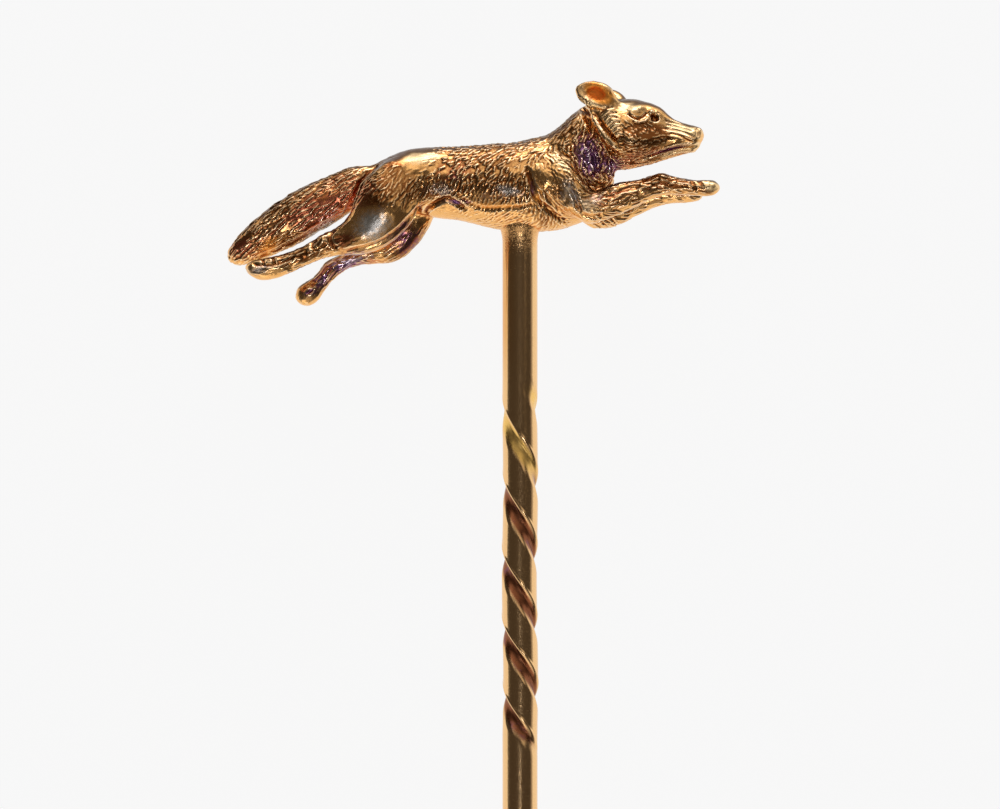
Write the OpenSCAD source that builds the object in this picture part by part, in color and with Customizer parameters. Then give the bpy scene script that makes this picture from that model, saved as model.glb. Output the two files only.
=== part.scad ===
// Stick pin: a small running fox, cast in gold and soldered to the top of a
// straight gold wire with a grooved, twisted grip and a plain tapered point.
//
// The pin is drawn upright, as it is worn: X runs towards the fox's nose, Y up
// the wire, and Z out of the fox's right side, with the origin where the wire's
// axis meets the belly. lay_down() then sets it on the ground on its left side.

/* [Fox] */
// Length of the casting, from the tip of the brush to the front paw
fox_len = 18.25; // [17:0.05:20]
// Turn of the head towards the fox's right, in degrees
head_turn = 10; // [0:1:16]
// Depth of each ear's hollow, as a share of the ear's thickness
ear_hollow = 0.7; // [0.4:0.05:0.9]
// Length of each eye, which is a pit in the casting
eye_len = 0.4; // [0.2:0.05:0.6]

/* [Wire] */
// Diameter of the wire
wire_d = 1.3; // [1.1:0.05:1.5]
// Length of the wire below the belly, point included
wire_len = 55; // [45:1:65]
// Length of the taper that ends in the point
taper_len = 9; // [6:1:14]
// Diameter of the rounded point
point_d = 0.3; // [0.2:0.05:0.5]

/* [Twisted grip] */
// Distance from the belly down to the start of the grooves
grip_top = 5.3; // [4:0.1:8]
// Length of the twisted stretch
grip_len = 14.2; // [10:0.1:20]
// Length of one full turn of a groove at the top of the grip
lead_top = 5.8; // [4:0.1:8]
// Length of one full turn of a groove at the bottom of the grip
lead_end = 4.8; // [4:0.1:8]
// Depth of each groove
groove_depth = 0.15; // [0.05:0.01:0.2]
// Angle of the wire's round that each groove takes
groove_angle = 76; // [50:2:100]

/* [How it lies] */
// Slope of the wire down to its point, in degrees
lie_slope = 0.903; // [0:0.001:3]
// Roll towards the fox's tail, in degrees
lie_roll = -0.511; // [-4:0.001:4]
// Where the belly's middle is, along the fox
lie_x = 1.739; // [0:0.001:4]
// Where the belly's middle is, along the wire
lie_y = 24.71; // [15:0.001:35]
// Height of the belly's middle over the ground
lie_z = 1.375; // [1:0.001:2.5]

/* [Hidden] */

wire_r = wire_d / 2;
point_r = point_d / 2;
solder_depth = 1.2;     // how far the wire runs up inside the casting
min_radius = 0.03;      // least radius of any section of the casting
groove_fade = 1.8;      // length in which a groove reaches its full depth
groove_start = -176.5;  // where the first groove starts, round from the front
seat = 0.25;            // how far the grip runs into the plain wire at each end
skin = 0.008;           // how far the grip stays inside the plain wire's surface
grip_rings = 64;        // sections of the grip
groove_points = 4;      // steps across one groove
land_points = 5;        // steps across the land between two grooves

// Sections of the casting. Each row is one section:
// [x, y, z of its middle, radius up, radius down, radius to each side].
// Rows run from the tail's end to the nose's end, so that up is up.
TRUNK = [
    [-6.00, 1.75, 0, 0.25, 0.25, 0.30],
    [-5.60, 1.75, 0, 0.62, 0.60, 0.70],
    [-4.90, 1.80, 0, 0.97, 0.95, 1.00],
    [-4.00, 1.85, 0, 1.25, 1.10, 1.10],
    [-3.10, 1.85, 0, 1.31, 1.35, 1.02],
    [-2.20, 1.80, 0, 1.38, 1.38, 1.05],
    [-1.10, 1.75, 0, 1.52, 1.59, 1.20],
    [ 0.00, 1.70, 0, 1.65, 1.72, 1.30],
    [ 0.90, 1.75, 0, 1.80, 1.74, 1.28],
    [ 1.70, 1.85, 0, 1.60, 1.66, 1.12],
    [ 2.50, 1.95, 0, 1.20, 1.42, 0.92],
    [ 3.10, 2.00, 0, 0.84, 0.85, 0.64],
    [ 3.44, 2.02, 0, 0.30, 0.30, 0.25]];
NECK = [
    [0.80, 2.00, 0, 1.20, 1.20, 0.90],
    [1.50, 2.65, 0, 1.10, 1.35, 1.02],
    [2.10, 3.15, 0, 1.00, 1.50, 1.02],
    [2.80, 3.75, 0, 1.03, 1.35, 0.95],
    [3.50, 4.10, 0, 0.95, 0.85, 0.70]];
HEAD = [
    [2.70, 3.42, 0, 0.60, 0.60, 0.50],
    [2.95, 3.53, 0, 1.10, 1.12, 0.92],
    [3.50, 3.72, 0, 1.18, 1.25, 1.06],
    [4.10, 3.78, 0, 1.16, 1.20, 1.04],
    [4.70, 3.73, 0, 1.08, 1.08, 0.84],
    [5.20, 3.67, 0, 0.91, 0.82, 0.60],
    [5.60, 3.62, 0, 0.60, 0.64, 0.45],
    [6.10, 3.55, 0, 0.48, 0.46, 0.36],
    [6.55, 3.52, 0, 0.38, 0.34, 0.31],
    [6.78, 3.51, 0, 0.28, 0.26, 0.24],
    [6.88, 3.50, 0, 0.12, 0.12, 0.12]];
JAW = [
    [3.15, 2.70, 0, 0.20, 0.44, 0.40],
    [3.60, 2.63, 0, 0.30, 0.36, 0.58],
    [4.10, 2.61, 0, 0.30, 0.26, 0.54],
    [4.80, 2.73, 0, 0.25, 0.24, 0.40],
    [5.60, 2.89, 0, 0.22, 0.19, 0.28],
    [6.20, 3.04, 0, 0.18, 0.14, 0.22],
    [6.56, 3.16, 0, 0.13, 0.11, 0.16],
    [6.72, 3.21, 0, 0.05, 0.05, 0.06]];
EAR = [
    [2.14, 5.36, 0.90, 0.05, 0.05, 0.05],
    [2.36, 5.25, 0.90, 0.32, 0.33, 0.17],
    [2.66, 5.12, 0.85, 0.52, 0.50, 0.25],
    [3.00, 4.99, 0.76, 0.57, 0.52, 0.31],
    [3.40, 4.78, 0.62, 0.44, 0.42, 0.32],
    [3.70, 4.62, 0.45, 0.22, 0.22, 0.22]];
BRUSH = [
    [-10.84, -1.06, -0.10, 0.10, 0.10, 0.08],
    [-10.64, -0.92, -0.10, 0.33, 0.42, 0.27],
    [-10.20, -0.57, -0.10, 0.50, 0.70, 0.42],
    [ -9.60, -0.15, -0.10, 0.64, 0.85, 0.52],
    [ -8.90,  0.30, -0.10, 0.74, 0.97, 0.60],
    [ -8.20,  0.72, -0.10, 0.78, 1.00, 0.64],
    [ -7.50,  1.07, -0.08, 0.79, 0.96, 0.62],
    [ -6.80,  1.40, -0.05, 0.76, 0.86, 0.56],
    [ -6.10,  1.75,  0.00, 0.70, 0.72, 0.50],
    [ -5.50,  2.02,  0.00, 0.50, 0.45, 0.40],
    [ -5.00,  2.20,  0.00, 0.15, 0.15, 0.15]];
NEAR_HIND = [
    [-10.17, -1.26, 0.80, 0.08, 0.08, 0.10],
    [-10.00, -1.32, 0.80, 0.22, 0.28, 0.25],
    [ -9.60, -1.38, 0.80, 0.35, 0.44, 0.35],
    [ -9.10, -1.30, 0.80, 0.38, 0.48, 0.36],
    [ -8.40, -1.04, 0.80, 0.31, 0.42, 0.31],
    [ -7.75, -0.75, 0.80, 0.31, 0.42, 0.32],
    [ -7.15, -0.48, 0.80, 0.41, 0.50, 0.37],
    [ -6.60, -0.34, 0.82, 0.54, 0.58, 0.42],
    [ -6.10, -0.18, 0.85, 0.76, 0.76, 0.50],
    [ -5.60,  0.12, 0.88, 0.97, 0.95, 0.56],
    [ -5.13,  0.67, 0.88, 1.15, 1.13, 0.60],
    [ -4.85,  1.22, 0.85, 1.20, 1.20, 0.58],
    [ -4.40,  1.85, 0.75, 1.05, 1.05, 0.48],
    [ -4.00,  2.40, 0.55, 0.65, 0.65, 0.34],
    [ -3.85,  2.70, 0.40, 0.20, 0.20, 0.15]];
FAR_HIND = [
    [-8.28, -2.62, -0.80, 0.16, 0.14, 0.10],
    [-8.10, -2.46, -0.80, 0.40, 0.38, 0.28],
    [-7.84, -2.22, -0.80, 0.44, 0.46, 0.36],
    [-7.42, -1.82, -0.80, 0.29, 0.31, 0.29],
    [-7.08, -1.42, -0.80, 0.38, 0.33, 0.29],
    [-6.60, -1.10, -0.80, 0.32, 0.31, 0.29],
    [-5.90, -0.86, -0.80, 0.36, 0.34, 0.34],
    [-5.10, -0.60, -0.80, 0.50, 0.60, 0.44],
    [-4.50, -0.25, -0.80, 0.62, 0.65, 0.50],
    [-4.05,  0.42, -0.80, 0.80, 0.70, 0.55],
    [-3.85,  1.20, -0.76, 0.90, 0.86, 0.55],
    [-3.85,  2.00, -0.60, 0.80, 0.70, 0.45],
    [-3.85,  2.60, -0.40, 0.25, 0.25, 0.20]];
NEAR_FORE = [
    [2.05, 0.70, 0.92, 0.15, 0.15, 0.15],
    [2.40, 0.74, 0.92, 0.50, 0.50, 0.44],
    [3.10, 0.99, 0.90, 0.56, 0.56, 0.47],
    [3.75, 1.26, 0.88, 0.58, 0.56, 0.45],
    [4.50, 1.50, 0.85, 0.41, 0.46, 0.40],
    [5.20, 1.73, 0.82, 0.42, 0.42, 0.36],
    [5.90, 1.69, 0.80, 0.30, 0.35, 0.33],
    [6.60, 1.60, 0.80, 0.28, 0.30, 0.32],
    [7.15, 1.61, 0.80, 0.30, 0.30, 0.30],
    [7.40, 1.63, 0.80, 0.12, 0.12, 0.12]];
FAR_FORE = [
    [2.20, 0.76, -0.92, 0.15, 0.15, 0.15],
    [2.60, 0.72, -0.92, 0.50, 0.52, 0.42],
    [3.30, 0.72, -0.90, 0.52, 0.55, 0.43],
    [4.20, 1.10, -0.88, 0.46, 0.49, 0.40],
    [5.10, 1.40, -0.85, 0.40, 0.43, 0.36],
    [5.80, 1.46, -0.82, 0.33, 0.36, 0.33],
    [6.45, 1.44, -0.80, 0.28, 0.31, 0.31],
    [6.86, 1.44, -0.80, 0.16, 0.20, 0.16]];
SHOULDER = [
    [2.50, 0.46, 0.90, 0.14, 0.14, 0.12],
    [2.36, 0.76, 0.92, 0.50, 0.48, 0.44],
    [2.05, 1.35, 0.90, 0.68, 0.66, 0.52],
    [1.62, 2.05, 0.82, 0.80, 0.80, 0.56],
    [1.20, 2.70, 0.62, 0.66, 0.66, 0.46],
    [0.95, 3.10, 0.42, 0.20, 0.20, 0.15]];

// One row between rows b and c, on the smooth curve through a, b, c and d
function between(a, b, c, d, t) =
    (2 * b + (c - a) * t + (2 * a - 5 * b + 4 * c - d) * t * t
     + (3 * b - a - 3 * c + d) * t * t * t) / 2;

// The rows with steps - 1 more between each pair
function finer(rows, steps) = let (last = len(rows) - 1) [
    for (i = [0:last - 1], k = [0:steps - 1])
        between(rows[max(i - 1, 0)], rows[i], rows[i + 1],
                rows[min(i + 2, last)], k / steps),
    rows[last]];

function middle(row) = [row[0], row[1], row[2]];
function unit(v) = v / norm(v);

// The points of one section, round its middle and square to the path
function section(rows, i, sides) = let (
    row = rows[i],
    along = unit(middle(rows[min(i + 1, len(rows) - 1)]) - middle(rows[max(i - 1, 0)])),
    side = unit([0, 0, 1] - along[2] * along),
    up = cross(side, along)) [
    for (k = [0:sides - 1]) let (
        angle = 360 * k / sides,
        high = max(min_radius, sin(angle) > 0 ? row[3] : row[4]),
        wide = max(min_radius, row[5]))
        middle(row) + wide * cos(angle) * side + high * sin(angle) * up];

// Faces that join count rings of the same number of points
function skin_faces(count, sides) = [
    [for (k = [sides - 1:-1:0]) k],
    for (i = [0:count - 2], k = [0:sides - 1]) let (
        a = i * sides + k,
        b = i * sides + (k + 1) % sides)
        each [[a, b, a + sides], [b, b + sides, a + sides]],
    [for (k = [0:sides - 1]) (count - 1) * sides + k]];

// A solid through the sections of a table
module limb(rows, steps = 3, sides = 14) {
    fine = finer(rows, steps);
    polyhedron(
        points = [for (i = [0:len(fine) - 1]) each section(fine, i, sides)],
        faces = skin_faces(len(fine), sides));
}

// One ear, with the hollow of its cup cut in from the outside
module ear() {
    cup = EAR[2];
    difference() {
        limb(EAR, 2, 12);
        translate([cup[0] + 0.2, cup[1] - 0.02, cup[2] + cup[5] * 1.1])
            rotate([0, -8, -26])
                scale([0.56, 0.27, cup[5] * 2 * ear_hollow])
                    sphere(r = 1, $fn = 18);
    }
}

// The far ear stands a little forward of the near one
module ears() {
    ear();
    translate([0.3, -0.2, 0])
        mirror([0, 0, 1])
            ear();
}

// The pit of one eye, under the brow
module eye() {
    translate([4.83, 4.26, 0.76])
        rotate([0, 18, -24])
            scale([eye_len / 2, eye_len * 0.3, 0.2])
                sphere(r = 1, $fn = 16);
}

module head() {
    pivot = middle(NECK[3]);
    translate(pivot)
        rotate([0, -head_turn, 0])
            translate(-pivot) {
                difference() {
                    limb(HEAD, 2, 20);
                    eye();
                    mirror([0, 0, 1])
                        eye();
                }
                limb(JAW, 2, 12);
                ears();
            }
}

module legs() {
    limb(NEAR_HIND, 2, 14);
    limb(FAR_HIND, 2, 12);
    limb(NEAR_FORE, 2, 12);
    limb(FAR_FORE, 2, 12);
    limb(SHOULDER, 2, 14);
    mirror([0, 0, 1])
        limb(SHOULDER, 2, 14);
}

// The cast fox at its finished length
module fox() {
    resize([fox_len, 0, 0], auto = true)
        union() {
            limb(TRUNK, 2, 20);
            limb(NECK, 2, 18);
            limb(BRUSH, 2, 16);
            head();
            legs();
        }
}

// Turns of a groove from the top of the grip down to the distance s
function turns(s) =
    s / lead_top + s * s / (2 * grip_len) * (1 / lead_end - 1 / lead_top);

// Depth of the grooves at the distance s, faded in and out at the ends
function depth_at(s) = let (
    t = min(1, max(0, min(s, grip_len - s) / groove_fade)))
    groove_depth * t * t * (3 - 2 * t);

// Angles and depths of the points across one groove and the land beside it
function groove_profile() = [
    for (k = [0:groove_points - 1]) let (u = 2 * k / groove_points - 1)
        [u * groove_angle / 2, pow(cos(90 * u), 2)],
    for (k = [0:land_points - 1])
        [groove_angle / 2 + k * (180 - groove_angle) / land_points, 0]];

function grip_ring(s) = [
    for (half = [0, 180], p = groove_profile()) let (
        angle = groove_start + 360 * turns(s) + half + p[0],
        r = wire_r - skin - p[1] * depth_at(s))
        [r * sin(angle), -grip_top - s, r * cos(angle)]];

// The stretch of the wire that two grooves wind round
module grip() {
    sides = 2 * (groove_points + land_points);
    step = (grip_len + 2 * seat) / (grip_rings - 1);
    polyhedron(
        points = [for (i = [0:grip_rings - 1]) each grip_ring(i * step - seat)],
        faces = skin_faces(grip_rings, sides));
}

// A round length of wire between two distances below the belly
module wire(top, end, end_r) {
    translate([0, -top, 0])
        rotate([90, 0, 0])
            cylinder(h = end - top, r1 = wire_r, r2 = end_r, $fn = 48);
}

module stem() {
    wire(-solder_depth, grip_top, wire_r);
    grip();
    wire(grip_top + grip_len, wire_len - taper_len, wire_r);
    wire(wire_len - taper_len, wire_len - point_r, point_r);
    translate([0, point_r - wire_len, 0])
        sphere(r = point_r, $fn = 24);
}

// The pin laid on the ground as it rests by itself, on the fox's left side
module lay_down() {
    translate([lie_x, lie_y, lie_z])
        rotate([lie_slope, lie_roll, 0])
            children();
}

module stick_pin() {
    color("goldenrod")
        lay_down() {
            fox();
            stem();
        }
}

stick_pin();
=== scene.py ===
"""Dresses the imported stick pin: a running fox of cast gold, soldered to a gold wire with a twisted grip.

Shapes are worked out in millimetres in the pin's upright frame, as it is worn: X runs towards the fox's
nose, Y up the wire and Z out of the fox's right side, with the origin where the wire's axis meets the belly.
At the end each shape is laid down on the floor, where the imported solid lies, and turned into metres.
"""
import math
from functools import partialmethod

import bmesh
import bpy
import numpy as np
from mathutils import Matrix, Vector, kdtree, noise


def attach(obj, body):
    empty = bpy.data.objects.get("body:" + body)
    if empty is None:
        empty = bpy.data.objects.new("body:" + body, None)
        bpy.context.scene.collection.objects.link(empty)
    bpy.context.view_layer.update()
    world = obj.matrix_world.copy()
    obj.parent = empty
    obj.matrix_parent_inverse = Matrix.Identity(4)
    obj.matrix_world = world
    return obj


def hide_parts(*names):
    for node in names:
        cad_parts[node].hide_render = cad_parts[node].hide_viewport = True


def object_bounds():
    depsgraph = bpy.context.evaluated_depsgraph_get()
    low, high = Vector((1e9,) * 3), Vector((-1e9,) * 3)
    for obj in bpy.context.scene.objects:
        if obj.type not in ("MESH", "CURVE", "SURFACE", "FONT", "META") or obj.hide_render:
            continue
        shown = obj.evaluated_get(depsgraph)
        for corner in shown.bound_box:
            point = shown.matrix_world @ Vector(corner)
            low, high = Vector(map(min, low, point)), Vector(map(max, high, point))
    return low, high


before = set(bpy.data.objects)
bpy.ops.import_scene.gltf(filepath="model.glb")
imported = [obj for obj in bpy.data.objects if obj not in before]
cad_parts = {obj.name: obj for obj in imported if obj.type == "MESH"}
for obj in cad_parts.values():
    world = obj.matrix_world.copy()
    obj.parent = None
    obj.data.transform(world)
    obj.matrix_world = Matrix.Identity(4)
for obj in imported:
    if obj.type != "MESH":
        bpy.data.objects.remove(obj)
CAD_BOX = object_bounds()
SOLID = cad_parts["stick_pin"]

MM = 0.001

# How the pin lies: the wire's slope, the roll towards the tail, and the middle of the belly
SLOPE = math.radians(0.903)
ROLL = math.radians(-0.511)
BELLY = np.array([1.739, 24.71, 1.375])

# The wire and its twisted grip, as in the solid
WIRE_R = 0.65
WIRE_LEN = 55.0
TAPER_LEN = 9.0
POINT_R = 0.15
GRIP_TOP = 5.3
GRIP_LEN = 14.2
LEAD_TOP = 5.8
LEAD_END = 4.8
GROOVE_START = -176.5
GROOVE_DEPTH = 0.15

# The wire's mesh: points around it and down it, and how far it runs up inside the casting
WIRE_AROUND = 161
WIRE_ROWS = 540
WIRE_SUNK = 1.1
# The solder: height of its flare, and how far it ran down
FLARE = 0.1
SOLDER_RUN = 0.9
# The grip: margin at its ends, stretch in which a groove deepens, the rubbed first turns' share of the depth
# and where they end, height of the grooves' proud lips, and how far the twisted wire sways
GRIP_MARGIN = 0.1
GROOVE_FADE = 1.8
RUBBED_DEPTH = 0.62
RUBBED_END = (3.4, 4.8)
LIP_HEIGHT = 0.018
SWAY = 0.025

# The casting's mesh: size of its squares, coarse for the smoothing and fine for the carving, and how many
# rounds of smoothing each gets and of putting back what the smoothing took away
COARSE = 0.058
FINE = 0.031
SMOOTH_ROUNDS = 90
FINE_ROUNDS = 12
RESTORE_ROUNDS = 3

# Carved lines of the modelling: half width, depth (proud where negative), and points
CREASES = {
    "tail_root": (0.19, 0.13, (
        (-5.05, 2.62), (-5.46, 2.33), (-5.83, 1.89), (-6.09, 1.33), (-6.31, 0.85), (-6.53, 0.41))),
    "tail_under": (0.15, 0.08, (
        (-6.38, 0.93), (-6.82, 0.52), (-7.45, 0.12), (-8.11, -0.25), (-8.85, -0.62), (-9.51, -0.91),
        (-10.03, -1.1))),
    "thigh_under": (0.15, 0.08, (
        (-3.1, 1.19), (-3.54, 0.97), (-3.87, 0.67), (-4.24, 0.26), (-4.61, -0.07), (-5.05, -0.36),
        (-5.61, -0.58), (-6.27, -0.73), (-6.82, -0.8))),
    "groin": (0.15, 0.11, (
        (-3.69, 0.52), (-3.32, 0.89), (-2.95, 1.11), (-2.66, 1.19), (-2.36, 1.04), (-2.1, 0.85),
        (-1.92, 0.71))),
    "belly_line": (0.12, 0.05, (
        (-2.73, 1.3), (-2.4, 1.33), (-2.1, 1.19), (-1.85, 1), (-1.48, 0.85), (-1.04, 0.82),
        (-0.56, 0.85), (0, 0.89), (0.44, 0.97), (0.92, 1.04))),
    "arm_back": (0.17, 0.09, (
        (0.18, 2.45), (0.3, 2.1), (0.4, 1.78), (0.55, 1.3), (0.92, 0.89), (1.4, 0.52), (1.84, 0.3))),
    "arm_ridge": (0.33, -0.07, ((0.48, 2.5), (0.84, 2.1), (1.14, 1.59), (1.47, 1.11), (1.91, 0.71))),
    "arm_front": (0.15, 0.11, ((1.69, 1.81), (1.95, 1.41), (2.1, 1.04), (2.25, 0.63))),
    "scapula_front": (0.19, 0.13, ((1.32, 3.1), (1.73, 2.66), (2.13, 2.22), (2.5, 1.81), (2.87, 1.52))),
    "neck_hollow": (0.42, 0.15, ((2.36, 3.8), (2.58, 3.14), (2.8, 2.51), (2.98, 2.03))),
    "ruff_edge": (0.19, 0.13, (
        (2.13, 4.95), (2.36, 4.47), (2.54, 3.95), (2.87, 3.4), (3.28, 2.96), (3.68, 2.66))),
    "ruff_ridge": (0.15, -0.07, (
        (2.32, 5.02), (2.58, 4.5), (2.76, 4.06), (3.09, 3.55), (3.5, 3.14), (3.98, 2.88))),
    "ruff_fold": (0.11, 0.07, ((2.95, 4.02), (3.17, 3.69), (3.42, 3.43), (3.68, 3.25))),
    "lid": (0.07, -0.06, ((4.15, 4.07), (4.33, 4.02), (4.56, 4.04), (4.74, 4.19))),
    "brow_crease": (0.065, 0.07, ((3.96, 4.41), (4.07, 4.24), (4.3, 4.15), (4.52, 4.21), (4.7, 4.41))),
    "muzzle_side": (0.6, -0.2, ((3.63, 3.33), (4.44, 3.3), (5.19, 3.3), (5.93, 3.33), (6.78, 3.37))),
    "cheek_side": (0.6, -0.06, ((2.67, 3.48), (3.11, 3.33), (3.7, 3.15), (4.44, 3.04), (4.89, 3))),
    "muzzle_1": (0.06, 0.05, ((5.3, 4.11), (5.48, 4.06), (5.7, 4), (6, 3.94))),
    "muzzle_2": (0.06, 0.05, ((5.22, 3.8), (5.63, 3.73), (6.11, 3.59), (6.48, 3.44))),
    "muzzle_3": (0.06, 0.05, ((5.44, 3.61), (5.78, 3.56), (6.07, 3.46), (6.41, 3.33))),
    "muzzle_4": (0.05, 0.04, ((5.33, 3.94), (5.59, 3.89), (5.89, 3.81), (6.37, 3.63))),
    "upper_lip": (0.08, -0.04, (
        (6.63, 3.3), (6.3, 3.3), (5.89, 3.28), (5.52, 3.19), (5.15, 3.07), (4.74, 2.93))),
    "mouth": (0.06, 0.12, (
        (6.67, 3.2), (6.3, 3.19), (5.89, 3.13), (5.52, 3.04), (5.15, 2.93), (4.78, 2.8), (4.48, 2.67))),
    "lower_lip": (0.08, -0.04, ((6.56, 3.07), (6.22, 3.02), (5.85, 2.94), (5.48, 2.83), (5.11, 2.72))),
    "ruff_1": (0.055, 0.05, ((2.93, 4.3), (3.04, 4.41), (3.19, 4.52), (3.48, 4.56))),
    "ruff_2": (0.055, 0.05, ((3, 4.11), (3.11, 4.22), (3.3, 4.33), (3.59, 4.37))),
    "ruff_3": (0.055, 0.05, ((3.11, 3.93), (3.22, 4.06), (3.37, 4.19), (3.63, 4.17))),
    "ruff_4": (0.055, 0.05, ((3.19, 3.78), (3.3, 3.89), (3.48, 4), (3.7, 3.98))),
    "ruff_5": (0.055, 0.05, ((3.26, 3.59), (3.37, 3.7), (3.56, 3.83), (3.78, 3.81))),
    "ruff_6": (0.055, 0.05, ((3.33, 3.44), (3.44, 3.56), (3.63, 3.67), (3.85, 3.63))),
    "ruff_7": (0.055, 0.05, ((3.44, 3.3), (3.56, 3.39), (3.7, 3.48), (3.93, 3.46))),
    "ruff_band": (0.34, -0.06, ((3.11, 4.59), (3.33, 4.22), (3.52, 3.85), (3.7, 3.44))),
    "ruff_valley": (0.13, 0.07, ((2.85, 4.19), (3.04, 3.96), (3.26, 3.67), (3.56, 3.33))),
    "ear_fold": (0.08, 0.06, ((2.07, 5), (2.26, 4.7), (2.48, 4.41), (2.67, 4.19))),
    "ear_rim_top": (0.16, -0.05, ((2.33, 5.11), (2.52, 5.28), (2.85, 5.37), (3.19, 5.3), (3.44, 5.04))),
    "ear_rim_low": (0.16, -0.05, ((2.41, 4.93), (2.63, 4.74), (2.96, 4.59), (3.3, 4.59))),
    "nostril": (0.09, 0.07, ((6.45, 3.77), (6.56, 3.62), (6.52, 3.47))),
    "elbow_fold": (0.15, 0.07, ((2.02, 1), (2.28, 0.67), (2.65, 0.52), (3.06, 0.63))),
    "forearm_split": (0.15, 0.06, ((2.65, 1.19), (3.24, 1.33), (3.87, 1.52), (4.49, 1.7))),
    "wrist_fold": (0.11, 0.06, ((4.79, 1.63), (5.16, 1.74), (5.6, 1.67), (6.04, 1.59))),
    "toe_1": (0.1, 0.03, ((6.52, 1.89), (6.71, 1.7), (6.74, 1.52))),
    "toe_2": (0.1, 0.03, ((6.26, 1.85), (6.41, 1.67), (6.45, 1.44))),
    "hock_fold": (0.13, 0.07, ((-6.75, 0.15), (-6.97, -0.1), (-6.97, -0.44), (-6.71, -0.66))),
    "hock_back": (0.11, 0.06, ((-7.45, -0.25), (-7.67, -0.51), (-7.52, -0.77))),
    "paw_top": (0.11, 0.07, ((-8.26, -0.91), (-8.7, -1.1), (-9.15, -1.25), (-9.66, -1.25), (-9.96, -1.14))),
    "paw_toe_1": (0.1, 0.06, ((-9.51, -0.95), (-9.44, -1.14), (-9.48, -1.28))),
    "paw_toe_2": (0.1, 0.06, ((-9.15, -0.91), (-9.07, -1.06), (-9.07, -1.21))),
    "thigh_muscle": (0.26, 0.06, ((-3.32, 2.18), (-3.54, 1.67), (-3.98, 1.15), (-4.35, 0.63))),
}

# Rounded swellings and hollows (negative): x, y, half length, half width, tilt in degrees, height
SWELLINGS = {
    "brow": (4.28, 4.48, 0.42, 0.27, 15, 0.06),
    "brow_over_eye": (4.84, 4.39, 0.15, 0.13, -30, 0.08),
    "eye": (4.96, 4.19, 0.23, 0.19, -45, -0.2),
    "eye_ball": (4.96, 4.17, 0.1, 0.09, 0, 0.04),
    "nose": (6.63, 3.69, 0.19, 0.19, 0, 0.04),
    "cheek": (3.98, 3.43, 0.44, 0.3, -20, 0.07),
    "wrist": (5.23, 2, 0.26, 0.19, 0, 0.07),
    "paw_tip": (7.07, 1.67, 0.22, 0.17, 0, 0.06),
    "hock": (-7.27, -0.33, 0.3, 0.26, 30, 0.08),
    "haunch": (-4.98, 0.97, 0.95, 1.1, 0, 0.09),
    "elbow": (2.32, 0.78, 0.33, 0.26, 0, 0.07),
    "scapula": (1.35, 2.05, 0.95, 0.5, -50, 0.05),
    "ear_hollow": (2.91, 5.06, 0.52, 0.28, -32, -0.17),
    "far_paw_hollow": (-7.81, -2.19, 0.2, 0.12, 30, -0.1),
    "paw_pad": (-9.62, -1.43, 0.37, 0.13, 8, -0.07),
    "hip": (-3.69, 2.62, 0.59, 0.33, 12, 0.03),
    "rib": (-0.74, 1.52, 0.96, 0.37, 0, 0.06),
}

# Marks of the near side's legs: the others are on both sides of the fox
NEAR_LEGS = {"thigh_under", "groin", "elbow_fold", "forearm_split", "wrist_fold", "toe_1", "toe_2",
             "hock_fold", "hock_back", "paw_top", "paw_toe_1", "paw_toe_2", "thigh_muscle",
             "wrist", "paw_tip", "hock", "haunch", "elbow", "paw_pad"}

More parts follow.
